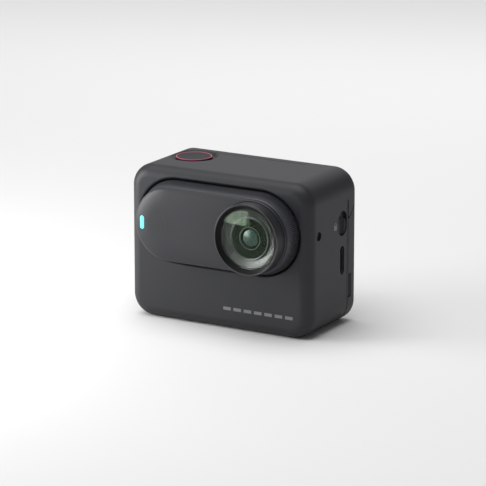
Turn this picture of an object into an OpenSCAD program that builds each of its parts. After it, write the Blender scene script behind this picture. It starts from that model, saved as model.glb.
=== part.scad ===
// Action camera: a thumb-sized camera pod docked in the front of a palm-sized housing
// with a flip-up screen on its back. Front faces -Y, top is +Z, millimetres.

/* [Housing] */
// Width of the housing
body_w = 63.5; // [62.5:0.5:70]
// Height of the housing
body_h = 48.2; // [48.2:0.1:52]
// Depth of the housing without the lens guard
body_d = 29.5; // [29.5:0.1:32]
// Corner radius in front view
corner_r = 7; // [6:0.5:8]
// Radius of the front edge
front_edge = 3.5; // [2.5:0.1:3.8]
// Radius of the rear edge
rear_edge = 2; // [1:0.1:2.2]
// Wall thickness of the shells
wall = 1.6; // [1.4:0.1:1.8]

/* [Camera pod] */
// Distance of each end centre of the pod from its middle
pod_end = 14.9; // [14.5:0.1:15.1]
// Radius of the pod's round ends
pod_r = 12.8; // [12.4:0.1:12.9]
// Gap between the pod and the dock
dock_gap = 0.35; // [0.25:0.05:0.5]
// How far the pod's cover stands in front of the housing
cover_out = 6.3; // [6:0.1:6.6]
// How far the lens guard stands in front of the housing
guard_out = 9.3; // [9.1:0.1:9.6]
// Radius of the lens guard
guard_r = 11; // [10.8:0.1:11.1]

/* [Screen] */
// Radius of the hinge barrel
barrel_r = 2.85; // [2.6:0.05:2.9]
// Half the width of the hinge barrel
barrel_half = 15.8; // [14:0.2:18]
// Height of the screen frame's shoulder at the back
shoulder_z = 37.4; // [36.5:0.1:37.8]

/* [Controls] */
// Radius of the shutter button's cap
cap_r = 5.25; // [5:0.05:5.3]
// Travel of the release slider
slider_travel = 2; // [1.6:0.1:2]

/* [Hidden] */
$fn = 64;
// planes along the depth: the box of the whole camera is centred on y = 0
front_y = -(body_d + guard_out) / 2 + guard_out;
back_y = front_y + body_d;
side_x = body_w / 2;
mouth_r = 0.8;                         // rounding of the dock's mouth
dock_r = pod_r + dock_gap;
pod_z = body_h - mouth_r - dock_r - 2.4;
tray_wall = 1.2;
tray_floor = front_y + 15.9;           // front face of the dock's floor
screen_y = back_y - 5.1;               // front face of the screen panel
cover_y = screen_y - 1.45;             // front face of the rear cover
cover_back = screen_y - 0.25;
axis_y = back_y - barrel_r - 0.1;      // hinge axis
axis_z = body_h - barrel_r - 0.15;
hinge_gap = 0.25;
pin_r = 0.9;
pin_fit = 0.05;
arm_z = axis_z - 3.6;                  // where the hinge arm thickens below the axis
shoulder_gap = 0.35;
cover_z0 = 7.2;
cover_z1 = 39.4;
seam_y = front_y - 4.1;                // seam between the pod's frame and its front cover
cover_face = front_y - cover_out;
guard_rim = front_y - guard_out;
pod_back = tray_floor - 0.5;
pod_split = front_y + 3;               // seam between the pod's frame and its rear shell
guard_fit = 0.05;
barrel_lens_r = 9.9;                   // outer radius of the lens barrel
glass_r = 9.2;
button_x = -19.6;
button_y = front_y + 18.45;
dish_r = 8;
dish_depth = 0.9;
cap_top = body_h - 0.05;
cap_thick = 1.2;
button_travel = 0.6;
slider_y = front_y + 20.35;
slider_w = 5.4;
slider_z0 = 28.8;
slider_z1 = 36.6;
knob_len = slider_z1 - slider_z0 - slider_travel - 0.4;
port_y = front_y + 20.25;
port_z = 21.1;
port_long = 9;
port_wide = 2.6;
side_button_z = [30, 18.5];
side_button_y = front_y + 19.6;
notch_y = front_y + 10.4;
notch_w = 6.3;
board_y = cover_y - 0.95;
hook_x = 23.4;
hook_z = slider_z0 + 3.9;
hook_tip = 1.9;                        // height of the hook's tip above hook_z
screw_x = 28.3;
screw_z = [10.5, 37];
base_gap = 0.25;                       // the screen panel clears the table by this much
mark_depth = 0.03;                     // depth of inlaid marks
cover_r = pod_r - 1.35;                // radius of the pod's front cover
frame_r = 10.1;                        // radius of the room inside the pod's frame
light_x = -23.4;                       // middle of the status window
touch_x = -15.5;                       // middle of the touch ridges
magnet_x = [-16, 12];                  // docking magnets, in the dock and in the pod
pin_x = [for (i = [-2:2]) 2.2 * i];    // contacts, in the dock and in the pod
pin_z = pod_z - 6;
mic_y = front_y + 5.55;
mic_r = 1.4;
speaker_y = [for (i = [-2:2]) front_y + 12 + 1.9 * i];  // depths of the speaker holes
slot_z = (slider_z0 + slider_z1) / 2;
knob_z = slider_z0 + 0.2 + knob_len / 2;
hinge_half = barrel_half + 0.2;        // half the room for the barrel between the ears

// ---- helpers ------------------------------------------------------------------

// extrudes a flat shape drawn in x and z from y0 to y1
module along_y(y0, y1) {
    translate([0, y1, 0]) rotate([90, 0, 0]) linear_extrude(y1 - y0) children();
}

// extrudes a flat shape drawn in y and z from x0 to x1
module along_x(x0, x1) {
    translate([x0, 0, 0]) rotate([90, 0, 90]) linear_extrude(x1 - x0) children();
}

module cyl_y(x, z, r, y0, y1, r1 = -1) {
    translate([x, y1, z]) rotate([90, 0, 0]) cylinder(r1 = r, r2 = r1 < 0 ? r : r1, h = y1 - y0);
}

module cyl_x(y, z, r, x0, x1) {
    translate([x0, y, z]) rotate([0, 90, 0]) cylinder(r = r, h = x1 - x0);
}

module box(x0, x1, y0, y1, z0, z1) {
    translate([x0, y0, z0]) cube([x1 - x0, y1 - y0, z1 - z0]);
}

module mirrored_x() {
    children();
    mirror([1, 0, 0]) children();
}

// rectangle with round corners, centred in x, standing on z0
module round_rect(w, z0, z1, r) {
    translate([-w / 2 + r, z0]) square([w - 2 * r, z1 - z0]);
    translate([-w / 2, z0 + r]) square([w, z1 - z0 - 2 * r]);
    for (x = [-w / 2 + r, w / 2 - r], z = [z0 + r, z1 - r]) translate([x, z]) circle(r);
}

// stadium outline of the pod, dock and everything that follows them
module stadium(r) {
    translate([-pod_end, pod_z - r]) square([2 * pod_end, 2 * r]);
    for (x = [-pod_end, pod_end]) translate([x, pod_z]) circle(r);
}

// quarter-round points for a revolved profile, centre (cx, cy), from angle a0 to a1
function arc(cx, cy, r, a0, a1, n = 6) =
    [for (i = [0:n]) let (a = a0 + (a1 - a0) * i / n) [cx + r * cos(a), cy + r * sin(a)]];

// one rounded end of a body whose depth runs along +Y, for hulling
module soft_end(x, z, r, y0, y1, f0, f1, sides) {
    translate([x, 0, z]) rotate([-90, 0, 0]) rotate_extrude($fn = sides)
        polygon(concat([[0, y1], [0, y0]], arc(r - f0, y0 + f0, f0, -90, 0),
            arc(r - f1, y1 - f1, f1, 0, 90)));
}

// the whole outside form of the housing
module housing_form() {
    hull() for (x = [-side_x + corner_r, side_x - corner_r], z = [corner_r, body_h - corner_r])
        soft_end(x, z, corner_r, front_y, back_y, front_edge, rear_edge, 48);
}

// ---- screen hinge outlines, drawn in y and z -----------------------------------

// the panel's outline, seen from the side, grown by g where it meets the ears
module panel_outline(g = 0) {
    polygon([[screen_y - g, base_gap + g], [back_y + 1, base_gap + g], [back_y + 1, shoulder_z + g],
        [back_y - 1.3, shoulder_z - 0.15 + g], [back_y - 4.15 - g / 2, shoulder_z - 3.2 + g],
        [screen_y - g, shoulder_z - 4.4 + g]]);
}

// the hinge arm between the ears, seen from the side, grown by g
module arm_outline(g = 0) {
    polygon([[screen_y - g, shoulder_z - 6], [back_y + 1, shoulder_z - 6], [back_y + 1, arm_z - 0.9 + g],
        [axis_y + g, arm_z + g], [axis_y + g, axis_z], [screen_y - g, axis_z]]);
}

// ---- housing -------------------------------------------------------------------

module shutter_dish() {
    translate([button_x, button_y, body_h - dish_depth])
        cylinder(r1 = cap_r + 0.95, r2 = dish_r, h = dish_depth + 0.01);
    translate([button_x, button_y, body_h - 4]) cylinder(r = cap_r + 0.55, h = 4);
}

module side_slot(y, z, wide, long, x0, x1) {
    along_x(x0, x1) {
        translate([y - wide / 2, z - long / 2 + wide / 2]) square([wide, long - wide]);
        for (s = [-1, 1]) translate([y, z + s * (long - wide) / 2]) circle(wide / 2);
    }
}

module front_shell() {
    color([0.27, 0.275, 0.29]) difference() {
        housing_form();
        // inside of the shell, open at the back behind the rear cover
        along_y(front_y + wall, cover_y + 0.01)
            round_rect(body_w - 2 * wall, wall, body_h - wall, corner_r - wall);
        along_y(cover_y, back_y) round_rect(body_w - 2 * wall - 3, wall + 4, cover_z1 - 4, 3);
        // room of the rear cover and of the flip-up screen
        box(-side_x - 1, side_x + 1, cover_y, screen_y, cover_z0, cover_z1);
        along_x(-side_x - 1, side_x + 1) panel_outline(shoulder_gap / 2);
        box(-side_x - 1, side_x + 1, screen_y - shoulder_gap / 2, back_y + 1, -1, 1);
        along_x(-hinge_half, hinge_half) arm_outline(hinge_gap);
        cyl_x(axis_y, axis_z, barrel_r + hinge_gap, -hinge_half, hinge_half);
        box(-hinge_half, hinge_half, axis_y, back_y + 1, arm_z - 2, body_h + 1);
        cyl_x(axis_y, axis_z, pin_r + 0.01, -barrel_half - 4.6, barrel_half + 4.6);
        // mouth of the dock, with a rounded edge
        along_y(front_y - 1, front_y + wall + 1) stadium(dock_r);
        hull() for (x = [-pod_end, pod_end])
            cyl_y(x, pod_z, dock_r, front_y - 0.01, front_y + mouth_r, dock_r + mouth_r);
        shutter_dish();
        // right side: microphone, slider recess, charging port
        cyl_x(mic_y, pod_z, mic_r, side_x - 1, side_x + 1);
        side_slot(slider_y, slot_z, slider_w, slider_z1 - slider_z0, side_x - 1, side_x + 1);
        side_slot(slider_y, slot_z, slider_w - 2.6, slider_z1 - slider_z0 - 2.6, side_x - 3, side_x);
        side_slot(port_y, port_z, port_wide, port_long, side_x - 3, side_x + 1);
        // left side: two buttons and the speaker holes
        for (z = side_button_z) side_slot(side_button_y, z, 3.4, 7.4, -side_x - 1, -side_x + 3);
        for (y = speaker_y) cyl_x(y, 8.5, 0.5, -side_x - 1, -side_x + 3);
        // underside: pad recess and the two quick-mount notches
        pad_block(-0.01, 0.8, 0.15);
        mirrored_x()
            box(side_x - 6.2, side_x + 1, notch_y - notch_w / 2, notch_y + notch_w / 2, -1, 1.2);
        front_bars();
        lock_outline(side_x + 1);
    }
    // bosses of the rear cover's screws, grown out of the side walls
    color([0.27, 0.275, 0.29]) mirrored_x() for (z = screw_z) difference() {
        union() {
            cyl_y(screw_x, z, 1.9, cover_y - 4, cover_y);
            box(screw_x, side_x - wall + 0.01, cover_y - 4, cover_y, z - 1.2, z + 1.2);
        }
        cyl_y(screw_x, z, 0.82, cover_y - 3, cover_y + 1);
    }
}

// the base pad's outline, extruded upwards and grown by g
module pad_block(z0, z1, g) {
    translate([0, notch_y, z0]) linear_extrude(z1 - z0) {
        square([36 + 2 * g, 12 + 2 * g], center = true);
        for (s = [-1, 1]) translate([s * 18, 0]) circle(6 + g);
    }
}

module rear_cover() {
    color([0.2, 0.2, 0.21]) difference() {
        intersection() {
            housing_form();
            box(-side_x - 1, side_x + 1, cover_y + 0.02, cover_back, cover_z0 + 0.1, cover_z1 - 0.1);
        }
        mirrored_x() for (z = screw_z) {
            cyl_y(screw_x, z, 0.85, cover_y - 1, back_y);
            cyl_y(screw_x, z, 1.6, cover_back - 0.75, back_y);
        }
        // clears the hinge barrel
        cyl_x(axis_y, axis_z, barrel_r + hinge_gap, -hinge_half, hinge_half);
    }
}

module cover_screws() {
    color([0.45, 0.45, 0.47]) mirrored_x() for (z = screw_z) difference() {
        union() {
            cyl_y(screw_x, z, 0.8, cover_y - 2.6, cover_back - 0.7);
            cyl_y(screw_x, z, 1.5, cover_back - 0.74, cover_back - 0.05);
        }
        cyl_y(screw_x, z, 0.5, cover_back - 0.35, back_y);
    }
}

module dock_tray() {
    color([0.13, 0.13, 0.14]) difference() {
        along_y(front_y + wall + 0.05, tray_floor + 1.3) stadium(dock_r + tray_wall);
        along_y(front_y, tray_floor) stadium(dock_r);
        // room under the shutter button when it is pressed
        translate([button_x, button_y, cap_top - cap_thick - button_travel - 0.1])
            cylinder(r = cap_r + 0.7, h = 3);
        // windows in the floor: contact pins and the lock hook
        for (x = pin_x) cyl_y(x, pin_z, 0.55, tray_floor - 1, tray_floor + 2);
        box(hook_x - 1.2, hook_x + 1.2, tray_floor - 1, tray_floor + 2, hook_z - 1.6,
            hook_z + 0.4 + slider_travel);
    }
}

module dock_magnets() {
    color([0.6, 0.6, 0.62]) for (x = magnet_x) cyl_y(x, pod_z, 3.5, tray_floor + 1.33, tray_floor + 2.4);
}

module contact_pins() {
    color([0.85, 0.68, 0.3]) for (x = pin_x) {
        cyl_y(x, pin_z, 0.5, tray_floor - 0.45, tray_floor + 1.3);
        cyl_y(x, pin_z, 0.8, tray_floor + 1.32, tray_floor + 2.2);
    }
}

module battery() {
    color([0.16, 0.2, 0.34]) along_y(tray_floor + 2.45, board_y - 0.15) round_rect(38, 5, 38, 1.5);
}

module main_board() {
    color([0.08, 0.3, 0.18]) difference() {
        along_y(board_y, board_y + 0.8) round_rect(56, 5, 38.5, 1);
        mirrored_x() for (z = screw_z) cyl_y(screw_x, z, 2.2, board_y - 1, board_y + 2);
        box(hook_x - 2.6, 30, board_y - 1, board_y + 2, slider_z0 - 2, 40);
        box(-30, -23, board_y - 1, board_y + 2, 14, 40);
    }
}

module usb_socket() {
    color([0.62, 0.62, 0.64]) difference() {
        side_slot(port_y, port_z, port_wide - 0.04, port_long - 0.04, side_x - 7.4, side_x - 0.6);
        side_slot(port_y, port_z, port_wide - 0.6, port_long - 0.6, side_x - 6.8, side_x);
    }
    color([0.1, 0.1, 0.1])
        box(side_x - 6.9, side_x - 1.6, port_y - 0.35, port_y + 0.35, port_z - 3.2, port_z + 3.2);
}

module speaker() {
    color([0.12, 0.12, 0.12])
        box(-side_x + wall + 0.25, -side_x + wall + 3.4, front_y + 6.5, front_y + 17.5, 5.8, 13.2);
}

module side_microphone() {
    color([0.05, 0.05, 0.05]) cyl_x(mic_y, pod_z, mic_r - 0.05, side_x - 0.98, side_x - 0.7);
}

module shutter_switch() {
    color([0.7, 0.7, 0.72]) difference() {
        translate([button_x, button_y, body_h - 4.6]) cylinder(r = 1.2, h = 1.2);
        translate([button_x, button_y, body_h - 3.6]) cylinder(r = 0.7, h = 1);
    }
}

module side_switches() {
    color([0.7, 0.7, 0.72]) for (z = side_button_z)
        box(-side_x + wall + 1.4, -side_x + wall + 2.6, side_button_y - 1.6, side_button_y + 1.6,
            z - 1.6, z + 1.6);
}

module base_pad() {
    color([0.12, 0.12, 0.12]) pad_block(0, 0.79, 0);
}

module mount_magnets() {
    color([0.6, 0.6, 0.62]) for (x = [-12, 12])
        translate([x, notch_y, wall + 0.02]) cylinder(r = 4, h = 1.2);
}

// generic padlock, a round shackle over a block, cut into the side as far out as x1
module lock_outline(x1) {
    along_x(side_x - mark_depth, x1) translate([front_y + 15.85, pod_z + 0.9]) {
        translate([-0.85, -1.3]) square([1.7, 1.5]);
        difference() {
            translate([0, 0.3]) circle(0.7);
            translate([0, 0.3]) circle(0.45);
            translate([-1, -1.3]) square([2, 1.45]);
        }
    }
}

module lock_mark() {
    color([0.45, 0.45, 0.46]) lock_outline(side_x);
}

// seven plain bars on the front where lettering would stand
module front_bars() {
    for (i = [0:6])
        box(1.7 + 3.6 * i, 4.3 + 3.6 * i, front_y - 0.001, front_y + mark_depth, 6.3, 7.3);
}

module front_mark() {
    color([0.5, 0.5, 0.51]) front_bars();
}

module hinge_pin() {
    color([0.7, 0.7, 0.72]) cyl_x(axis_y, axis_z, pin_r, -barrel_half - 4.5, barrel_half + 4.5);
}

// ---- flip-up screen -------------------------------------------------------------

module screen_frame() {
    color([0.25, 0.255, 0.27]) difference() {
        union() {
            intersection() {
                housing_form();
                union() {
                    along_x(-side_x - 1, side_x + 1) panel_outline(-shoulder_gap / 2);
                    along_x(-barrel_half, barrel_half) arm_outline(-0.02);
                }
            }
            cyl_x(axis_y, axis_z, barrel_r, -barrel_half, barrel_half);
        }
        cyl_x(axis_y, axis_z, pin_r + pin_fit, -barrel_half - 1, barrel_half + 1);
        // counterbores of the friction sleeves
        mirrored_x() cyl_x(axis_y, axis_z, 1.6, barrel_half - 5, barrel_half + 1);
        // seats of the glass and of the display, open to the front for the inner cover
        along_y(back_y - 0.9, back_y + 1) round_rect(57, 3, 35.4, 3.5);
        along_y(screen_y - 1, back_y) round_rect(51, 5.6, 31.6, 1.5);
        // finger notch on each side edge
        mirrored_x() translate([side_x + 0.8, screen_y + 1.1, 8.4]) cylinder(r = 1.6, h = 7.5);
    }
}

module screen_inner_cover() {
    color([0.17, 0.17, 0.18])
        along_y(screen_y + 0.2, screen_y + 1) round_rect(50.96, 5.62, 31.58, 1.48);
}

module display_panel() {
    color([0.05, 0.05, 0.07]) along_y(screen_y + 1.3, back_y - 0.92) round_rect(50, 6, 31.2, 1);
}

module screen_glass() {
    color([0.03, 0.03, 0.04]) along_y(back_y - 0.88, back_y - 0.08) round_rect(56.9, 3.05, 35.35, 3.45);
}

module hinge_sleeves() {
    color([0.75, 0.62, 0.35]) mirrored_x() difference() {
        cyl_x(axis_y, axis_z, 1.58, barrel_half - 4.95, barrel_half - 0.1);
        cyl_x(axis_y, axis_z, pin_r + pin_fit, barrel_half - 6, barrel_half + 1);
    }
}

// ---- camera pod ------------------------------------------------------------------

module pod_front_cover() {
    color([0.33, 0.335, 0.35]) difference() {
        hull() for (x = [-pod_end, pod_end])
            soft_end(x, pod_z, cover_r, cover_face, seam_y - 0.1, 1.9, 0.1, 64);
        along_y(cover_face + 1.1, seam_y + 1) stadium(frame_r);
        cyl_y(pod_end, pod_z, guard_r + 0.15, cover_face - 1, seam_y + 1);
        along_y(cover_face - 1, cover_face + 2) translate([light_x, pod_z]) light_outline(0.02);
        along_y(cover_face - 0.01, cover_face + 0.3) ridge_outline(0.02);
    }
}

module light_outline(g = 0) {
    square([1.4 + 2 * g, 2.8], center = true);
    for (s = [-1, 1]) translate([0, s * 1.35]) circle(0.7 + g);
}

// three short raised touch ridges, a plain finger guide
module ridge_outline(g = 0) {
    for (i = [-1:1]) translate([touch_x + 1.7 * i, pod_z]) {
        square([0.6 + 2 * g, 4.2], center = true);
        for (s = [-1, 1]) translate([0, s * 2.1]) circle(0.3 + g);
    }
}

module touch_ridges() {
    color([0.36, 0.365, 0.38]) along_y(cover_face + 0.02, cover_face + 0.29) ridge_outline();
}

module status_light() {
    color([0.4, 0.9, 1])
        along_y(cover_face + 0.35, cover_face + 2) translate([light_x, pod_z]) light_outline();
}

// frame between the cover and the rear shell: its outside slopes from the dock to the seam
module pod_frame() {
    color([0.3, 0.305, 0.32]) difference() {
        union() {
            hull() for (x = [-pod_end, pod_end])
                cyl_y(x, pod_z, pod_r, seam_y, front_y + 0.2, cover_r);
            along_y(front_y + 0.19, pod_split - 0.02) stadium(pod_r);
        }
        along_y(seam_y - 1, pod_split + 1) stadium(frame_r);
        // opens the right end for the guard ring and the lens barrel
        cyl_y(pod_end, pod_z, guard_r + 0.15, seam_y - 1, seam_y + 2.2);
    }
}

module pod_rear_shell() {
    color([0.17, 0.17, 0.18]) difference() {
        union() {
            along_y(pod_split, pod_back) stadium(pod_r);
            along_y(pod_split - 2.4, pod_split + 0.1) stadium(frame_r - 0.05);
        }
        along_y(pod_split - 3, pod_split + 1.3) stadium(8.9);
        along_y(pod_split + 1.2, pod_back - 3) stadium(11.6);
        along_y(pod_split + 1.2, pod_back - 1.2) {
            translate([-pod_end, pod_z - 11]) square([2 * pod_end - 6, 22]);
            for (x = [-pod_end, pod_end - 6]) translate([x, pod_z]) circle(11);
        }
        // contact pad seats and the hook's undercut
        for (x = pin_x) cyl_y(x, pin_z, 0.9, pod_back - 0.3, pod_back + 1);
        box(hook_x - 1.3, hook_x + 1.3, pod_back - 2.4, pod_back + 1, hook_z - 1.5,
            hook_z + hook_tip + 0.4);
        box(hook_x - 1.3, hook_x + 1.3, pod_back - 2.4, pod_back - 0.9, hook_z - 1.5,
            hook_z + hook_tip + slider_travel + 0.2);
        // lens barrel passes through
        cyl_y(pod_end, pod_z, barrel_lens_r + 0.02, pod_split - 3, pod_split + 0.5);
    }
}

module lens_barrel() {
    color([0.06, 0.06, 0.065]) difference() {
        cyl_y(pod_end, pod_z, barrel_lens_r, front_y - 7.3, pod_split - 0.05);
        // the light-coloured cone ahead of the front ring
        cyl_y(pod_end, pod_z, 6.5, front_y - 7.31, front_y - 6.6, 9.1);
        cyl_y(pod_end, pod_z, 6, front_y - 8, pod_split + 1);
        // groove of the guard's bayonet lugs
        difference() {
            cyl_y(pod_end, pod_z, barrel_lens_r + 1, front_y - 5.2, front_y - 4.2);
            cyl_y(pod_end, pod_z, barrel_lens_r - 0.7, front_y - 6, front_y - 4);
        }
    }
}

module lens_front_ring() {
    color([0.75, 0.76, 0.78]) difference() {
        cyl_y(pod_end, pod_z, 5.98, front_y - 7.1, front_y - 6);
        cyl_y(pod_end, pod_z, 5.4, front_y - 8, front_y - 5);
    }
}

module front_lens() {
    color([0.25, 0.4, 0.4, 0.5]) intersection() {
        translate([pod_end, front_y + 3.6, pod_z]) sphere(r = 11, $fn = 180);
        cyl_y(pod_end, pod_z, 5.35, front_y - 7.7, front_y - 5.2);
    }
}

module lens_inner_ring() {
    color([0.75, 0.76, 0.78]) difference() {
        cyl_y(pod_end, pod_z, 5.9, front_y - 5, front_y - 4.4);
        cyl_y(pod_end, pod_z, 3.1, front_y - 6, front_y - 4);
    }
}

module pupil_lens() {
    color([0.15, 0.35, 0.35, 0.5]) cyl_y(pod_end, pod_z, 3.05, front_y - 4.95, front_y - 3.6);
}

module rear_lens() {
    color([0.2, 0.35, 0.35, 0.5]) cyl_y(pod_end, pod_z, 4, front_y - 3.2, front_y - 1.6);
}

module lens_holder() {
    color([0.08, 0.08, 0.09]) difference() {
        cyl_y(pod_end, pod_z, 5.95, front_y - 4.35, front_y + 1);
        cyl_y(pod_end, pod_z, 4.02, front_y - 3.5, front_y + 2);
        cyl_y(pod_end, pod_z, 3.07, front_y - 5, front_y);
    }
}

module image_sensor() {
    color([0.2, 0.22, 0.35])
        box(pod_end - 3.8, pod_end + 3.8, front_y + 1.1, front_y + 1.9, pod_z - 3.8, pod_z + 3.8);
}

module pod_board() {
    color([0.08, 0.3, 0.18]) along_y(front_y + 3.6, front_y + 4.4) stadium(8.7);
}

module pod_battery() {
    color([0.16, 0.2, 0.34])
        box(-18, 7, front_y + 4.9, pod_back - 3.2, pod_z - 8, pod_z + 8);
}

module pod_switch() {
    color([0.7, 0.7, 0.72]) cyl_y(touch_x, pod_z, 2, cover_face + 1.15, cover_face + 2.2);
}

module contact_pads() {
    color([0.85, 0.68, 0.3]) for (x = pin_x)
        cyl_y(x, pin_z, 0.88, pod_back - 0.28, pod_back - 0.01);
}

module pod_magnets() {
    color([0.6, 0.6, 0.62]) for (x = magnet_x) cyl_y(x, pod_z, 3.5, pod_back - 2.6, pod_back - 1.25);
}

// ---- lens guard -------------------------------------------------------------------

module guard_ring() {
    color([0.05, 0.05, 0.055]) difference() {
        cyl_y(pod_end, pod_z, guard_r, guard_rim, seam_y + 2);
        // inner wall: slopes from the rim to the glass seat, then steps back for the barrel
        cyl_y(pod_end, pod_z, glass_r, guard_rim - 0.01, guard_rim + 1, 10.5);
        cyl_y(pod_end, pod_z, glass_r + 0.05, guard_rim, guard_rim + 1.8);
        cyl_y(pod_end, pod_z, barrel_lens_r + guard_fit, guard_rim + 1.8, seam_y + 3);
    }
    // bayonet lugs that turn in the barrel's groove
    color([0.05, 0.05, 0.055]) for (a = [90, 210, 330]) intersection() {
        difference() {
            cyl_y(pod_end, pod_z, barrel_lens_r + 0.4, front_y - 5, front_y - 4.4);
            cyl_y(pod_end, pod_z, barrel_lens_r - 0.45, front_y - 6, front_y - 4);
        }
        translate([pod_end, 0, pod_z]) rotate([0, -a, 0]) box(0, 12, front_y - 6, front_y - 3, -1.6, 1.6);
    }
}

module guard_glass() {
    color([0.45, 0.5, 0.45, 0.4]) cyl_y(pod_end, pod_z, glass_r, guard_rim + 1, guard_rim + 1.75);
}

module guard_seal() {
    color([0.1, 0.1, 0.1]) difference() {
        cyl_y(pod_end, pod_z, guard_r, seam_y + 2.02, seam_y + 2.18);
        cyl_y(pod_end, pod_z, barrel_lens_r + 0.1, seam_y + 1, seam_y + 3);
    }
}

// ---- controls -----------------------------------------------------------------------

module shutter_cap() {
    color([0.22, 0.22, 0.23]) difference() {
        union() {
            translate([button_x, button_y, cap_top - cap_thick]) cylinder(r = cap_r, h = cap_thick);
            translate([button_x, button_y, body_h - 2.65]) cylinder(r = 1, h = 1.8);
        }
        // shallow finger dish
        translate([button_x, button_y, cap_top + 28.7]) sphere(r = 29, $fn = 96);
    }
}

module shutter_ring() {
    color([0.85, 0.2, 0.28]) translate([button_x, button_y, cap_top - 1.1]) difference() {
        cylinder(r = cap_r + 0.4, h = 1.1);
        translate([0, 0, -1]) cylinder(r = cap_r + 0.01, h = 3);
    }
}

module slider_knob() {
    color([0.16, 0.16, 0.17]) difference() {
        side_slot(slider_y, knob_z, slider_w - 0.5, knob_len, side_x - 0.95, side_x - 0.25);
        // finger scoop towards the front
        translate([side_x + 2.6, slider_y - 0.4, knob_z]) rotate([0, 0, 20])
            translate([0, 0, -5]) cylinder(r = 2.95, h = 10);
    }
    color([0.16, 0.16, 0.17])
        side_slot(slider_y, knob_z, slider_w - 3.2, 2.6, side_x - 3.2, side_x - 0.9);
}

module lock_hook() {
    color([0.6, 0.6, 0.62]) {
        box(hook_x - 0.9, side_x - 3.22, slider_y - 0.6, slider_y + 0.6, hook_z - 1.2, hook_z + 0.2);
        box(hook_x - 0.9, hook_x + 0.9, pod_back - 1.2, slider_y - 0.59, hook_z - 1.2, hook_z + 0.2);
        box(hook_x - 0.9, hook_x + 0.9, pod_back - 2.2, pod_back - 1.1, hook_z - 1.2, hook_z + hook_tip);
    }
}

module slider_spring() {
    color([0.75, 0.75, 0.77]) {
        box(side_x - 4.6, side_x - 4.4, slider_y - 0.5, slider_y + 0.5, hook_z - 3.6, hook_z - 1.22);
        box(side_x - 4.41, side_x - wall, slider_y - 0.5, slider_y + 0.5, hook_z - 3.6, hook_z - 3.4);
    }
}

module side_button(z) {
    color([0.17, 0.17, 0.18]) {
        side_slot(side_button_y, z, 3.1, 7.1, -side_x + 0.05, -side_x + wall);
        side_slot(side_button_y, z, 1.4, 2.4, -side_x + wall - 0.01, -side_x + wall + 0.85);
    }
}

module power_button() {
    side_button(side_button_z[0]);
}

module function_button() {
    side_button(side_button_z[1]);
}

front_shell();
rear_cover();
dock_tray();
dock_magnets();
contact_pins();
battery();
main_board();
usb_socket();
speaker();
side_microphone();
shutter_switch();
side_switches();
base_pad();
mount_magnets();
cover_screws();
lock_mark();
front_mark();
hinge_pin();
screen_frame();
screen_inner_cover();
screen_glass();
display_panel();
hinge_sleeves();
pod_front_cover();
pod_frame();
pod_rear_shell();
status_light();
touch_ridges();
lens_barrel();
lens_front_ring();
lens_inner_ring();
front_lens();
pupil_lens();
rear_lens();
lens_holder();
image_sensor();
pod_board();
pod_battery();
pod_switch();
contact_pads();
pod_magnets();
guard_ring();
guard_glass();
guard_seal();
shutter_cap();
shutter_ring();
slider_knob();
lock_hook();
slider_spring();
power_button();
function_button();
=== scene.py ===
"""Action camera: surfaces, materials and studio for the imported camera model.

Lengths inside the functions are millimetres in the model's own frame (front is -Y, top is +Z);
new_object() turns them into metres.
"""
import math

import bmesh
import bpy
import numpy as np
from bpy.props import FloatProperty, FloatVectorProperty, IntProperty, PointerProperty
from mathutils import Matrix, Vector


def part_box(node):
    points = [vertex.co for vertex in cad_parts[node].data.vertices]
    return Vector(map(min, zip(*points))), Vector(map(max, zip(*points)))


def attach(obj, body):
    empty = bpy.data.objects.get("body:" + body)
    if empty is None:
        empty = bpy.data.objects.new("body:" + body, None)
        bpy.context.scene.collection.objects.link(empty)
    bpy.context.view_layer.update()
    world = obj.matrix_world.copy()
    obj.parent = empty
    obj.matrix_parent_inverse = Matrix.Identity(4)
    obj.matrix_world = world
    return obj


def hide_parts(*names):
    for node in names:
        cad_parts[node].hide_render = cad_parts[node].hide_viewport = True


bl_info = {
    "name": "Action camera surfaces",
    "version": (1, 0, 0),
    "blender": (4, 5, 0),
    "location": "View3D > Sidebar > Action camera",
    "description": "Builds the finished surfaces, materials and studio of an action camera with a docked pod",
    "category": "Object",
}

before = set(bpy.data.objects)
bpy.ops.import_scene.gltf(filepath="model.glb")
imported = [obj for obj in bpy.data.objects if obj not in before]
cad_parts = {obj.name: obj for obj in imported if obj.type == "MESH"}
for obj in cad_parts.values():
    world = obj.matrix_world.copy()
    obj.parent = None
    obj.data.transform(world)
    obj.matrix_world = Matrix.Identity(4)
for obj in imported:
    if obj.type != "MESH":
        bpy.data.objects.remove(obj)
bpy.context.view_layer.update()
MM = 0.001


def span(node):
    """Lowest and highest corner of a CAD node, in millimetres, as two numpy rows."""
    return np.array([[float(v) for v in corner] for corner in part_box(node)]) / MM


# ---- places read from the frame -------------------------------------------------------------

SHELL = span("front_shell")
SIDE_X = SHELL[1, 0]
FRONT_Y, BACK_Y = SHELL[:, 1]
TOP_Z = SHELL[1, 2]
POD = span("pod_frame")
POD_R = (POD[1, 2] - POD[0, 2]) / 2
POD_Z = (POD[1, 2] + POD[0, 2]) / 2
POD_END = POD[1, 0] - POD_R
TRAY = span("dock_tray")
DOCK_R = (TRAY[1, 2] - TRAY[0, 2]) / 2 - 1.2
COVER = span("pod_front_cover")
COVER_FACE, COVER_SEAM = COVER[:, 1]
COVER_R = (COVER[1, 2] - COVER[0, 2]) / 2
GUARD = span("guard_ring")
GUARD_R = (GUARD[1, 2] - GUARD[0, 2]) / 2
GUARD_RIM, GUARD_BASE = GUARD[:, 1]
LENS_X = (GUARD[0, 0] + GUARD[1, 0]) / 2
GLASS = span("guard_glass")
GLASS_R = (GLASS[1, 2] - GLASS[0, 2]) / 2
BARREL = span("lens_barrel")
CAP = span("shutter_cap")
BUTTON = (CAP[0] + CAP[1]) / 2
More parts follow.
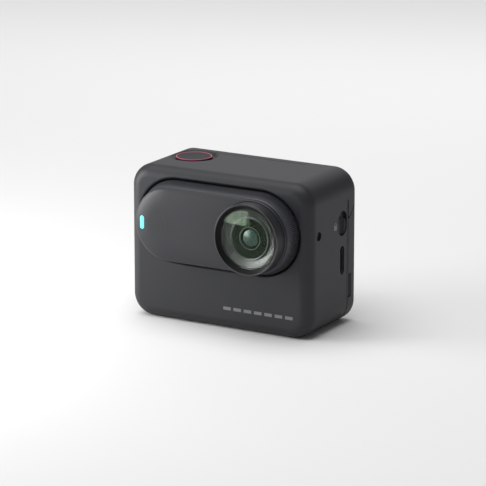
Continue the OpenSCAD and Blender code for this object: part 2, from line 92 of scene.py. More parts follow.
CAP_R = (CAP[1, 0] - CAP[0, 0]) / 2
CAP_TOP = CAP[1, 2]
KNOB = span("slider_knob")
PIN = span("hinge_pin")
AXIS_Y = (PIN[0, 1] + PIN[1, 1]) / 2
AXIS_Z = (PIN[0, 2] + PIN[1, 2]) / 2
SCREEN = span("screen_frame")
SCREEN_Y = SCREEN[0, 1]
REAR_COVER = span("rear_cover")
LIGHT = span("status_light")
LOCK = span("lock_mark")
PAD = span("base_pad")

# ---- fixed sizes of the housing and its hinge, in mm -----------------------------------------

WALL = 1.6                  # thickness of the shell
CUT = 1.0                   # how far a cutter reaches past a surface
PANEL_GAP = 0.175           # between the screen frame and the shell
ARM_GAP = 0.25              # between the hinge arm and the shell
EAR_GAP = 0.2               # between the hinge barrel's ends and the ears
BARREL_R = 2.85
KNUCKLE_R, KNUCKLE_ROOM = 3.3, 3.55
BARREL_HALF = PIN[1, 0] - 4.5
DISH_R, DISH_HOLE_R, DISH_DEPTH = 8.1, 5.85, 0.95
MIC_Y, MIC_R = FRONT_Y + 5.55, 1.4
MARK_RECESS, MARK_GAP = 0.015, 0.2
SLIDER_SLOT = (FRONT_Y + 20.35, 32.7, 5.4, 7.8)
PORT_SLOT = (FRONT_Y + 20.25, 21.1, 2.6, 9.0)
BUTTON_Y, BUTTON_WIDE, BUTTON_LONG = FRONT_Y + 19.6, 3.4, 7.4
SPEAKER_Y, SPEAKER_Z, SPEAKER_STEP, SPEAKER_R = FRONT_Y + 12, 8.5, 1.9, 0.5
MOUNT_NOTCH = (6.2, FRONT_Y + 7.25, FRONT_Y + 13.55, 1.2)
PAD_GAP, PAD_DEPTH = 0.15, 0.8
FINGER_R, FINGER_LOW, FINGER_HIGH = 1.6, 8.4, 15.9


# ---- sizes and colours a user would change --------------------------------------------------

class HousingLook(bpy.types.PropertyGroup):
    corner: FloatProperty(name="Corner radius", description="Corner radius in front view, in mm",
                          default=7.0, min=6.0, max=9.0)
    front_edge: FloatProperty(name="Front edge", description="Radius of the front edge, in mm",
                              default=3.7, min=2.5, max=4.5)
    rear_edge: FloatProperty(name="Rear edge", description="Radius of the rear edge, in mm",
                             default=2.0, min=1.0, max=2.5)
    mouth: FloatProperty(name="Dock mouth", description="Rounding of the dock's mouth, in mm",
                         default=0.8, min=0.3, max=1.0)
    colour: FloatVectorProperty(name="Colour", description="Colour of the housing's plastic",
                                subtype="COLOR", size=3, default=(0.0205, 0.0215, 0.0250))
    roughness: FloatProperty(name="Roughness", description="Roughness of the housing's plastic",
                             default=0.5, min=0.0, max=1.0, subtype="FACTOR")
    grain: FloatProperty(name="Grain", description="Strength of the moulded grain",
                         default=0.12, min=0.0, max=1.0, subtype="FACTOR")


class PodLook(bpy.types.PropertyGroup):
    edge_width: FloatProperty(name="Edge width", description="Width of the cover's soft edge, in mm",
                              default=6.0, min=2.0, max=8.0)
    edge_depth: FloatProperty(name="Edge depth", description="Depth of the cover's soft edge, in mm",
                              default=1.35, min=0.5, max=1.9)
    ridges: IntProperty(name="Ridges", description="Ridges round the pod's sloped band",
                        default=232, min=60, max=480)
    ridge_depth: FloatProperty(name="Ridge depth", description="Depth of the ridges, in mm",
                               default=0.38, min=0.0, max=0.4)
    colour: FloatVectorProperty(name="Colour", description="Colour of the pod's cover",
                                subtype="COLOR", size=3, default=(0.023, 0.024, 0.028))
    light: FloatVectorProperty(name="Status light", description="Colour of the lit status window",
                               subtype="COLOR", size=3, default=(0.10, 0.80, 0.95))


class LensLook(bpy.types.PropertyGroup):
    coating: FloatVectorProperty(name="Coating", description="Colour that the lens coating reflects",
                                 subtype="COLOR", size=3, default=(0.52, 0.72, 0.48))
    pupil: FloatVectorProperty(name="Pupil", description="Colour of the pupil's coating",
                               subtype="COLOR", size=3, default=(0.022, 0.048, 0.046))


class StudioLook(bpy.types.PropertyGroup):
    key: FloatProperty(name="Key light", description="Strength of the soft light from above",
                       default=2.5, min=0.0)
    side: FloatProperty(name="Side light", description="Power of the softbox on the left", default=0.6,
                        min=0.0)
    back: FloatProperty(name="Back light", description="Power of the softbox behind", default=0.35, min=0.0)
    card: FloatProperty(name="Lens light", description="Power of the small card that the lens reflects",
                        default=0.4, min=0.0)
    fill: FloatProperty(name="Fill", description="Strength of the surroundings", default=0.2, min=0.0)
    lens: FloatProperty(name="Lens", description="Focal length of the view, in mm", default=225.3, min=20.0)
    distance: FloatProperty(name="Distance", description="Distance of the view, in metres",
                            default=0.935, min=0.1, unit="LENGTH")
    azimuth: FloatProperty(name="Azimuth", description="View angle round the object",
                           default=math.radians(30.2), subtype="ANGLE")
    elevation: FloatProperty(name="Elevation", description="View angle above the table",
                             default=math.radians(14.7), subtype="ANGLE")


# ---- outlines and profiles ------------------------------------------------------------------

def rounded_path(half_w, low, high, radius, count):
    """Rounded rectangle as an inner rectangle plus radius times a turning normal.

    Walks the outline by equal arc length. Along an edge the inner point moves and the normal
    stands still; round a corner the inner point stands still and the normal turns 90 degrees.
    Returns the inner points' x and z and the normals' angle.
    """
    w, h = 2 * (half_w - radius), high - low - 2 * radius
    quarter = radius * math.pi / 2
    steps = np.cumsum([0, h, quarter, w, quarter, h, quarter, w, quarter])
    x, z0, z1 = half_w - radius, low + radius, high - radius
    s = np.arange(count) * steps[-1] / count
    px = np.interp(s, steps, [x, x, x, -x, -x, -x, -x, x, x])
    pz = np.interp(s, steps, [z0, z1, z1, z1, z1, z0, z0, z0, z0])
    angle = np.interp(s, steps, np.radians([0, 0, 90, 90, 180, 180, 270, 270, 360]))
    return px, pz, angle


def stadium_path(radius, count):
    """The pod's stadium: a rounded rectangle whose inner rectangle has no height."""
    return rounded_path(POD_END + radius, POD_Z - radius, POD_Z + radius, radius, count)


def soften(points, radii, steps=6):
    """A profile whose corners are rounded.

    At each corner the two tangent points lie radius * tan(half the turn) away, and the arc
    between them is the corner's circle sampled at equal angles.
    """
    p = np.asarray(points, float)
    out = []
    for i, radius in enumerate(radii):
        here = p[i]
        if radius <= 0:
            out.append(here[None])
            continue
        a, b = p[i - 1] - here, p[(i + 1) % len(p)] - here
        a, b = a / np.linalg.norm(a), b / np.linalg.norm(b)
        half = math.acos(np.clip(a @ b, -1, 1)) / 2
        middle = (a + b) / np.linalg.norm(a + b)
        centre = here + middle * radius / math.sin(half)
        start = here + a * radius / math.tan(half) - centre
        end = here + b * radius / math.tan(half) - centre
        turn = math.atan2(start[0] * end[1] - start[1] * end[0], start @ end)
        t = np.linspace(0, turn, steps + 1)
        out.append(centre + np.stack([start[0] * np.cos(t) - start[1] * np.sin(t),
                                      start[0] * np.sin(t) + start[1] * np.cos(t)], 1))
    return np.concatenate(out)


def grid_faces(rows, columns, close_rows=False):
    """Quads of a grid whose columns always close on themselves, rows only if asked."""
    r = np.arange(rows if close_rows else rows - 1)[:, None]
    c = np.arange(columns)[None]
    a = r * columns + c
    b = r * columns + (c + 1) % columns
    up = ((r + 1) % rows) * columns
    return np.stack([a, b, up + (c + 1) % columns, up + c], -1).reshape(-1, 4)


# ---- mesh making ------------------------------------------------------------------------------

def new_object(name, verts, faces, caps=()):
    """A mesh object from vertex rows in millimetres, a quad array and lists of cap rings."""
    mesh = bpy.data.meshes.new(name)
    mesh.from_pydata((np.asarray(verts) * MM).tolist(), [], faces.tolist() + [list(c) for c in caps])
    obj = bpy.data.objects.new(name, mesh)
    bpy.context.scene.collection.objects.link(obj)
    bm = bmesh.new()
    bm.from_mesh(mesh)
    bmesh.ops.remove_doubles(bm, verts=bm.verts, dist=1e-7)
    bmesh.ops.recalc_face_normals(bm, faces=bm.faces)
    bm.to_mesh(mesh)
    bm.free()
    return obj


def smooth(obj, angle=32.0):
    """Smooth shading with sharp edges past the angle."""
    obj.data.shade_smooth()
    obj.data.set_sharp_from_angle(angle=math.radians(angle))


def finish_piece(obj, body, material, replaced=(), angle=32.0):
    """Shades the piece, gives it its material, and lets it ride on its body."""
    obj.data.materials.clear()
    obj.data.materials.append(material)
    smooth(obj, angle)
    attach(obj, body)
    if replaced:
        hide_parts(*replaced)
    return obj


def revolve(name, profile, x, z, count=128):
    """A ring or a disc about an axis along Y through (x, z).

    profile rows are (radius, y), closed on itself; a point at radius r goes to
    (x + r cos t, y, z + r sin t) for every angle t.
    """
    p = np.asarray(profile, float)
    t = np.arange(count) * 2 * math.pi / count
    verts = np.stack(np.broadcast_arrays(x + p[:, :1] * np.cos(t), p[:, 1:], z + p[:, :1] * np.sin(t)), -1)
    return new_object(name, verts.reshape(-1, 3), grid_faces(len(p), count, True))


def revolve_up(name, profile, x, y, count=128):
    """The same about an upright axis through (x, y): profile rows are (radius, z)."""
    p = np.asarray(profile, float)
    t = np.arange(count) * 2 * math.pi / count
    verts = np.stack(np.broadcast_arrays(x + p[:, :1] * np.cos(t), y + p[:, :1] * np.sin(t), p[:, 1:]), -1)
    return new_object(name, verts.reshape(-1, 3), grid_faces(len(p), count, True))


def stadium_ring(name, profile, count=480, ripple=None, closed=True):
    """A profile of (radius, y) rows carried round the stadium.

    A row of radius r goes to inner point + r * normal; ripple(s) may lower r by a wave
    along the path, s running from 0 to 1. A profile that isn't closed starts and ends at
    radius 0, where its two sides meet along the stadium's middle line.
    """
    p = np.asarray(profile, float)
    px, pz, angle = stadium_path(POD_R, count)
    r = np.repeat(p[:, :1], count, 1)
    if ripple is not None:
        r = r - ripple(np.arange(count) / count)
    verts = np.stack(np.broadcast_arrays(px + r * np.cos(angle), p[:, 1:], pz + r * np.sin(angle)), -1)
    return new_object(name, verts.reshape(-1, 3), grid_faces(len(p), count, closed))


def prism_x(name, outline, x0, x1):
    """A straight prism along X from an outline of (y, z) rows."""
    o = np.asarray(outline, float)
    n = len(o)
    verts = np.concatenate([np.column_stack([np.full(n, x), o]) for x in (x0, x1)])
    side = np.stack([np.arange(n), (np.arange(n) + 1) % n, (np.arange(n) + 1) % n + n, np.arange(n) + n], 1)
    return new_object(name, verts, side, (range(n), range(n, 2 * n)))


def prism_y(name, outline, y0, y1):
    """A straight prism along Y from an outline of (x, z) rows."""
    o = np.asarray(outline, float)
    n = len(o)
    verts = np.concatenate([np.column_stack([o[:, 0], np.full(n, y), o[:, 1]]) for y in (y0, y1)])
    side = np.stack([np.arange(n), (np.arange(n) + 1) % n, (np.arange(n) + 1) % n + n, np.arange(n) + n], 1)
    return new_object(name, verts, side, (range(n), range(n, 2 * n)))


def box(name, low, high):
    """A plain block, used only as a cutter."""
    (x0, y0, z0), (x1, y1, z1) = low, high
    return prism_x(name, [[y0, z0], [y1, z0], [y1, z1], [y0, z1]], x0, x1)


def slot_outline(a, b, wide, long, count=48):
    """A slot's outline round (a, b), its long side along the second axis."""
    px, pz, angle = rounded_path(wide / 2, -long / 2, long / 2, wide / 2 * 0.999, count)
    return np.column_stack([a + px + wide / 2 * np.cos(angle), b + pz + wide / 2 * np.sin(angle)])


def circle(a, b, radius, count=48):
    """A circle's outline round (a, b)."""
    t = np.arange(count) * 2 * math.pi / count
    return np.column_stack([a + radius * np.cos(t), b + radius * np.sin(t)])


def combine(obj, others, operation):
    """Applies a boolean with each other object in turn and removes those objects."""
    for other in others:
        modifier = obj.modifiers.new("cut", "BOOLEAN")
        modifier.operation = operation
        modifier.solver = "MANIFOLD"
        modifier.object = other
        bpy.context.view_layer.update()
        depsgraph = bpy.context.evaluated_depsgraph_get()
        result = bpy.data.meshes.new_from_object(obj.evaluated_get(depsgraph))
        obj.modifiers.clear()
        old = obj.data
        obj.data = result
        bpy.data.meshes.remove(old)
        bpy.data.objects.remove(other)
        if len(result.polygons) == 0:
            raise RuntimeError(f"{obj.name}: the boolean with {operation} left nothing")
    obj.data.name = obj.name
    return obj


# ---- the housing's outer form -----------------------------------------------------------------

def depth_inside(x, z, corner):
    """Distance inside the rounded rectangle of the housing, by the usual rounded-box rule."""
    qx = np.abs(x) - (SIDE_X - corner)
    qz = np.abs(z - TOP_Z / 2) - (TOP_Z / 2 - corner)
    outside = np.hypot(np.maximum(qx, 0), np.maximum(qz, 0))
    return corner - outside - np.minimum(np.maximum(qx, qz), 0)


def face_drop(depth, edge):
    """How far the front surface has fallen back at a distance inside the outline: a circle's arc."""
    a = np.clip((edge - depth) / edge, 0, 1)
    return edge * (1 - np.sqrt(1 - a * a))


def stadium_reach(angle, radius):
    """Length of a ray from the stadium's middle to its outline, straight side or round end."""
    straight = radius / np.maximum(np.abs(np.sin(angle)), 1e-9)
    end = POD_END * np.abs(np.cos(angle)) + np.sqrt(np.maximum(radius**2 - (POD_END * np.sin(angle))**2, 0))
    return np.where(np.abs(straight * np.cos(angle)) <= POD_END, straight, end)


def housing_rings(look, mouth, count=720):
    """Rings of the housing's skin, from the dock's mouth or the middle of the front to the back.

    Rays fan out from the dock's centre to points at equal steps round the outline. Each ray is
    cut where its distance inside the outline takes the wanted values, found by halving. The
    front surface falls back by face_drop; the sides run straight; the rear edge is a quarter
    circle on the outline's own normals.
    """
    px, pz, normal = rounded_path(SIDE_X, 0, TOP_Z, look.corner, count)
    ox, oz = px + look.corner * np.cos(normal), pz + look.corner * np.sin(normal)
    ray = np.arctan2(oz - POD_Z, ox)
    full = np.hypot(ox, oz - POD_Z)
    rim = DOCK_R + look.mouth if mouth else 3.0
    start = stadium_reach(ray, rim)
    deepest = depth_inside(start * np.cos(ray), POD_Z + start * np.sin(ray), look.corner)
    bend = np.minimum(look.front_edge, deepest * 0.93)
    rings = []
    if mouth:
        base = FRONT_Y + face_drop(deepest, look.front_edge)
        for t in np.linspace(0, math.pi / 2, 9)[:-1]:
            reach = stadium_reach(ray, DOCK_R + look.mouth * (1 - math.cos(t)))
            rings.append((reach * np.cos(ray), base + look.mouth * (1 - math.sin(t)),
                          POD_Z + reach * np.sin(ray)))
    flat = [deepest + (bend - deepest) * k for k in np.linspace(0, 1, 12)[:-1]]
    curved = [bend * (1 - math.sin(t)) for t in np.linspace(0, math.pi / 2, 15)]
    for wanted in flat + curved:
        low, high = start.copy(), full.copy()
        for _ in range(40):
            middle = (low + high) / 2
            inside = depth_inside(middle * np.cos(ray), POD_Z + middle * np.sin(ray), look.corner) > wanted
            low, high = np.where(inside, middle, low), np.where(inside, high, middle)
        x, z = low * np.cos(ray), POD_Z + low * np.sin(ray)
        rings.append((x, FRONT_Y + face_drop(depth_inside(x, z, look.corner), look.front_edge), z))
    for y in np.linspace(FRONT_Y + look.front_edge, BACK_Y - look.rear_edge, 26)[1:]:
        rings.append((ox, np.full(count, y), oz))
    for t in np.linspace(0, math.pi / 2, 9)[1:]:
        inset = look.corner - look.rear_edge * (1 - math.cos(t))
        y = BACK_Y - look.rear_edge * (1 - math.sin(t))
        rings.append((px + inset * np.cos(normal), np.full(count, y), pz + inset * np.sin(normal)))
    return [np.column_stack(ring) for ring in rings]


def inner_rings(look, wall, back, count=720):
    """Rings of the shell's inside, from the back plane to the dock's mouth, one wall thickness in."""
    radius = look.corner - wall
    px, pz, normal = rounded_path(SIDE_X - wall, wall, TOP_Z - wall, radius, count)
    ox, oz = px + radius * np.cos(normal), pz + radius * np.sin(normal)
    ray = np.arctan2(oz - POD_Z, ox)
    reach = stadium_reach(ray, DOCK_R)
    rows = [(ox, np.full(count, back), oz), (ox, np.full(count, FRONT_Y + wall), oz),
            (reach * np.cos(ray), np.full(count, FRONT_Y + wall), POD_Z + reach * np.sin(ray))]
    return [np.column_stack(row) for row in rows]


def skin_object(name, rings):
    """Rings of equal count joined into one closed surface, with flat caps at both ends."""
    count = len(rings[0])
    total = len(rings)
    return new_object(name, np.concatenate(rings), grid_faces(total, count),
                      (range(count), range((total - 1) * count, total * count)))


# ---- hinge and screen outlines, as (y, z) rows --------------------------------------------------

def panel_outline(gap=0.0):
    """Side view of the screen panel with the sloped shoulder under the hinge ears."""
    shoulder = TOP_Z - 10.8
    points = [[SCREEN_Y - gap, 0.25 + gap], [BACK_Y + 1, 0.25 + gap], [BACK_Y + 1, shoulder + gap],
              [BACK_Y - 1.3, shoulder - 0.15 + gap], [BACK_Y - 4.15 - gap / 2, shoulder - 3.2 + gap],
              [SCREEN_Y - gap, shoulder - 4.4 + gap]]
    return soften(points, [0, 0, 0, 1.2, 1.5, 0])


def arm_outline(gap=0.0):
    """Side view of the hinge arm between the ears."""
    shoulder, arm = TOP_Z - 10.8, AXIS_Z - 3.6
    points = [[SCREEN_Y - gap, shoulder - 6], [BACK_Y + 1, shoulder - 6], [BACK_Y + 1, arm - 0.9 + gap],
              [AXIS_Y + gap, arm + gap], [AXIS_Y + gap, AXIS_Z], [SCREEN_Y - gap, AXIS_Z]]
    return np.asarray(points)


# ---- shared material effects --------------------------------------------------------------------

def node_group(name, inputs, outputs):
    """A shader node group with the named sockets; inputs are (name, type, default)."""
    group = bpy.data.node_groups.new(name, "ShaderNodeTree")
    for label, kind, default in inputs:
        socket = group.interface.new_socket(name=label, in_out="INPUT", socket_type=kind)
        socket.default_value = default
    for label, kind in outputs:
        group.interface.new_socket(name=label, in_out="OUTPUT", socket_type=kind)
    start = group.nodes.new("NodeGroupInput")
    end = group.nodes.new("NodeGroupOutput")
    return group, start, end


def moulded_grain():
    """Fine spark-eroded grain: two noises of different scale make the height and a faint colour change."""
    if "Moulded grain" in bpy.data.node_groups:
        return bpy.data.node_groups["Moulded grain"]
    group, start, end = node_group("Moulded grain", [
        ("Colour", "NodeSocketColor", (0.05, 0.05, 0.05, 1)), ("Roughness", "NodeSocketFloat", 0.5),
        ("Scale", "NodeSocketFloat", 5200.0), ("Variation", "NodeSocketFloat", 0.12)],
        [("Colour", "NodeSocketColor"), ("Roughness", "NodeSocketFloat"), ("Height", "NodeSocketFloat")])
    nodes, links = group.nodes, group.links
    place = nodes.new("ShaderNodeTexCoord")
    fine = nodes.new("ShaderNodeTexNoise")
    fine.inputs["Detail"].default_value = 2.0
    links.new(place.outputs["Object"], fine.inputs["Vector"])
    links.new(start.outputs["Scale"], fine.inputs["Scale"])
    broad = nodes.new("ShaderNodeTexNoise")
    broad.inputs["Scale"].default_value = 70.0
    broad.inputs["Detail"].default_value = 3.0
    links.new(place.outputs["Object"], broad.inputs["Vector"])
    mixed = nodes.new("ShaderNodeMath")
    mixed.operation = "MULTIPLY_ADD"
    mixed.inputs[1].default_value = 0.35
    links.new(broad.outputs["Fac"], mixed.inputs[0])
    links.new(fine.outputs["Fac"], mixed.inputs[2])
    centred = nodes.new("ShaderNodeMath")
    centred.operation = "SUBTRACT"
    centred.inputs[1].default_value = 0.675
    links.new(mixed.outputs[0], centred.inputs[0])
    amount = nodes.new("ShaderNodeMath")
    amount.operation = "MULTIPLY_ADD"
    amount.inputs[2].default_value = 1.0
    links.new(centred.outputs[0], amount.inputs[0])
    links.new(start.outputs["Variation"], amount.inputs[1])
    tint = nodes.new("ShaderNodeVectorMath")
    tint.operation = "SCALE"
    links.new(start.outputs["Colour"], tint.inputs[0])
    links.new(amount.outputs[0], tint.inputs["Scale"])
    links.new(tint.outputs[0], end.inputs["Colour"])
    rough = nodes.new("ShaderNodeMath")
    rough.operation = "MULTIPLY"
    links.new(start.outputs["Roughness"], rough.inputs[0])
    links.new(amount.outputs[0], rough.inputs[1])
    links.new(rough.outputs[0], end.inputs["Roughness"])
    links.new(fine.outputs["Fac"], end.inputs["Height"])
    return group


def new_material(name):
    """An empty node material with its Principled shader."""
    material = bpy.data.materials.new(name)
    material.use_nodes = True
    return material, material.node_tree.nodes["Principled BSDF"]


def plastic(name, colour, roughness=0.5, scale=5200.0, variation=0.12, bump=0.12, height=0.00002,
            specular=0.34):
    """Moulded plastic: grain from the shared group drives colour, roughness and a shallow bump."""
    material, shader = new_material(name)
    nodes, links = material.node_tree.nodes, material.node_tree.links
    grain = nodes.new("ShaderNodeGroup")
    grain.node_tree = moulded_grain()
    grain.inputs["Colour"].default_value = (*colour, 1)
    grain.inputs["Roughness"].default_value = roughness
    grain.inputs["Scale"].default_value = scale
    grain.inputs["Variation"].default_value = variation
    links.new(grain.outputs["Colour"], shader.inputs["Base Color"])
    links.new(grain.outputs["Roughness"], shader.inputs["Roughness"])
    relief = nodes.new("ShaderNodeBump")
    relief.inputs["Strength"].default_value = bump
    relief.inputs["Distance"].default_value = height
    links.new(grain.outputs["Height"], relief.inputs["Height"])
    links.new(relief.outputs["Normal"], shader.inputs["Normal"])
    shader.inputs["Specular IOR Level"].default_value = specular
    return material


def turned_metal(name, colour, roughness=0.28):
    """Lathe-turned metal: rings of fine noise along the lens axis change the roughness."""
    material, shader = new_material(name)
    nodes, links = material.node_tree.nodes, material.node_tree.links
    place = nodes.new("ShaderNodeTexCoord")
    stretch = nodes.new("ShaderNodeMapping")
    stretch.inputs["Scale"].default_value = (400, 6000, 400)
    links.new(place.outputs["Object"], stretch.inputs["Vector"])
    noise = nodes.new("ShaderNodeTexNoise")
    noise.inputs["Scale"].default_value = 1.0
    links.new(stretch.outputs[0], noise.inputs["Vector"])
    level = nodes.new("ShaderNodeMapRange")
    level.inputs["To Min"].default_value = roughness * 0.8
    level.inputs["To Max"].default_value = roughness * 1.25
    links.new(noise.outputs["Fac"], level.inputs["Value"])
    links.new(level.outputs["Result"], shader.inputs["Roughness"])
    shader.inputs["Base Color"].default_value = (*colour, 1)
    shader.inputs["Metallic"].default_value = 1.0
    return material


def coated_glass(name, colour, tint, roughness=0.02, ior=1.16):
    """Clear glass with a coloured reflection from its coating."""
    material, shader = new_material(name)
    shader.inputs["Base Color"].default_value = (*colour, 1)
    shader.inputs["Roughness"].default_value = roughness
    shader.inputs["IOR"].default_value = ior
    shader.inputs["Transmission Weight"].default_value = 1.0
    shader.inputs["Specular Tint"].default_value = (*tint, 1)
    return material


def pupil_glass(name, colour):
    """Deep coated element: speckled teal where the coating catches dust, under a clear gloss."""
    material, shader = new_material(name)
    nodes, links = material.node_tree.nodes, material.node_tree.links
    place = nodes.new("ShaderNodeTexCoord")
    speck = nodes.new("ShaderNodeTexNoise")
    speck.inputs["Scale"].default_value = 1700.0
    speck.inputs["Detail"].default_value = 4.0
    links.new(place.outputs["Object"], speck.inputs["Vector"])
    ramp = nodes.new("ShaderNodeValToRGB")
    ramp.color_ramp.elements[0].position = 0.42
    ramp.color_ramp.elements[0].color = tuple(0.25 * c for c in colour) + (1,)
    ramp.color_ramp.elements[1].position = 0.68
    ramp.color_ramp.elements[1].color = (*colour, 1)
    links.new(speck.outputs["Fac"], ramp.inputs["Fac"])
    links.new(ramp.outputs["Color"], shader.inputs["Base Color"])
    shader.inputs["Roughness"].default_value = 0.3
    shader.inputs["Specular IOR Level"].default_value = 0.2
    shader.inputs["Coat Weight"].default_value = 0.1
    shader.inputs["Coat Roughness"].default_value = 0.03
    return material


def lit_window(name, colour, strength):
    """Milky light guide: brightest in the middle of the window, falling off to its rim."""
    material, shader = new_material(name)
    nodes, links = material.node_tree.nodes, material.node_tree.links
    place = nodes.new("ShaderNodeTexCoord")
    centre = nodes.new("ShaderNodeMapping")
    centre.inputs["Location"].default_value = (-float(LIGHT[:, 0].mean()) * MM * 700, 0,
                                               -float(LIGHT[:, 2].mean()) * MM * 300)
    centre.inputs["Scale"].default_value = (700, 0, 300)
    links.new(place.outputs["Object"], centre.inputs["Vector"])
    length = nodes.new("ShaderNodeVectorMath")
    length.operation = "LENGTH"
    links.new(centre.outputs[0], length.inputs[0])
    fall = nodes.new("ShaderNodeValToRGB")
    fall.color_ramp.elements[0].color = (0.22, 0.95, 1.0, 1)
    fall.color_ramp.elements[1].color = (*colour, 1)
    fall.color_ramp.elements[1].position = 0.75
    links.new(length.outputs["Value"], fall.inputs["Fac"])
    links.new(fall.outputs["Color"], shader.inputs["Emission Color"])
    shader.inputs["Emission Strength"].default_value = strength
    shader.inputs["Base Color"].default_value = (*colour, 1)
    shader.inputs["Roughness"].default_value = 0.3
    return material


def finishes():
    """Every material of the camera by name, made once."""
    if "Housing plastic" not in bpy.data.materials:
        scene = bpy.context.scene
        house, pod, lens = scene.housing_look, scene.pod_look, scene.lens_look
        tone = np.array(house.colour)
        plastic("Housing plastic", tone, house.roughness, bump=house.grain)
        plastic("Cover plastic", tone * 0.62, 0.55)
        plastic("Pod plastic", np.array(pod.colour), 0.42, scale=7000, bump=0.06)
        # The band's tone is 2.2 times the housing's: painted light, standing in for light from above on the
        # band's upward-facing slope
        plastic("Band plastic", tone * 2.2, 0.42, bump=0.06, specular=0.4)
        plastic("Black plastic", (0.012, 0.012, 0.0125), 0.5)
        plastic("Button plastic", tone * 0.7, 0.5, bump=0.08, specular=0.16)
        plastic("Guard enamel", (0.005, 0.0055, 0.0055), 0.5, scale=3000, bump=0.03, specular=0.1)
        plastic("Anodised black", (0.014, 0.014, 0.015), 0.42, scale=3000, bump=0.03, specular=0.25)
        plastic("Baffle paint", (0.003, 0.003, 0.003), 0.7, scale=3000, bump=0.05, specular=0.04)
        plastic("Red trim", (0.40, 0.06, 0.12), 0.4, bump=0.03)
        plastic("Pad print", (0.17, 0.17, 0.175), 0.5, bump=0.05)
        plastic("Display stack", (0.004, 0.004, 0.005), 0.2, bump=0.0)
        plastic("Circuit board", (0.012, 0.07, 0.035), 0.4, scale=900, variation=0.5)
        plastic("Cell wrap", (0.06, 0.07, 0.12), 0.35, scale=600, bump=0.2)
        plastic("Rubber", (0.014, 0.014, 0.0145), 0.75, scale=2600, bump=0.3)
        turned_metal("Lens metal", (0.10, 0.10, 0.105), 0.34)
        plastic("Polished edge", (0.010, 0.010, 0.0105), 0.2, scale=3000, bump=0.02, specular=0.6)
        turned_metal("Steel", (0.42, 0.42, 0.43), 0.32)
        turned_metal("Magnet plating", (0.5, 0.5, 0.52), 0.2)
        turned_metal("Gold plating", (0.80, 0.55, 0.22), 0.25)
        coated_glass("Guard glass", (0.96, 1.0, 0.97), lens.coating)
        coated_glass("Lens glass", (0.9, 1.0, 0.95), lens.coating)
        pupil_glass("Pupil glass", lens.pupil)
        black = plastic("Screen glass", (0.004, 0.004, 0.0045), 0.06, bump=0.0)
        black.node_tree.nodes["Principled BSDF"].inputs["Coat Weight"].default_value = 1.0
        lit_window("Status window", pod.light, 0.85)
    return bpy.data.materials


NODE_FINISH = {
    "Cover plastic": ["rear_cover", "screen_inner_cover", "pod_rear_shell"],
    "Black plastic": ["dock_tray", "speaker", "side_microphone", "lens_holder"],
    "Magnet plating": ["dock_magnets", "mount_magnets", "pod_magnets"],
    "Gold plating": ["contact_pins", "contact_pads", "hinge_sleeves"],
    "Cell wrap": ["battery", "pod_battery"],
    "Circuit board": ["main_board", "pod_board", "image_sensor"],
    "Steel": ["usb_socket", "shutter_switch", "side_switches", "cover_screws", "hinge_pin", "slider_spring",
              "pod_switch", "lock_hook"],
    "Rubber": ["base_pad", "guard_seal"],
    "Pad print": ["lock_mark", "front_mark"],
    "Display stack": ["display_panel"],
    "Screen glass": ["screen_glass"],
    "Pod plastic": ["touch_ridges"],
    "Pupil glass": ["rear_lens"],
    "Button plastic": ["power_button", "function_button"],
}


# ---- operators: one for each group of pieces ------------------------------------------------------

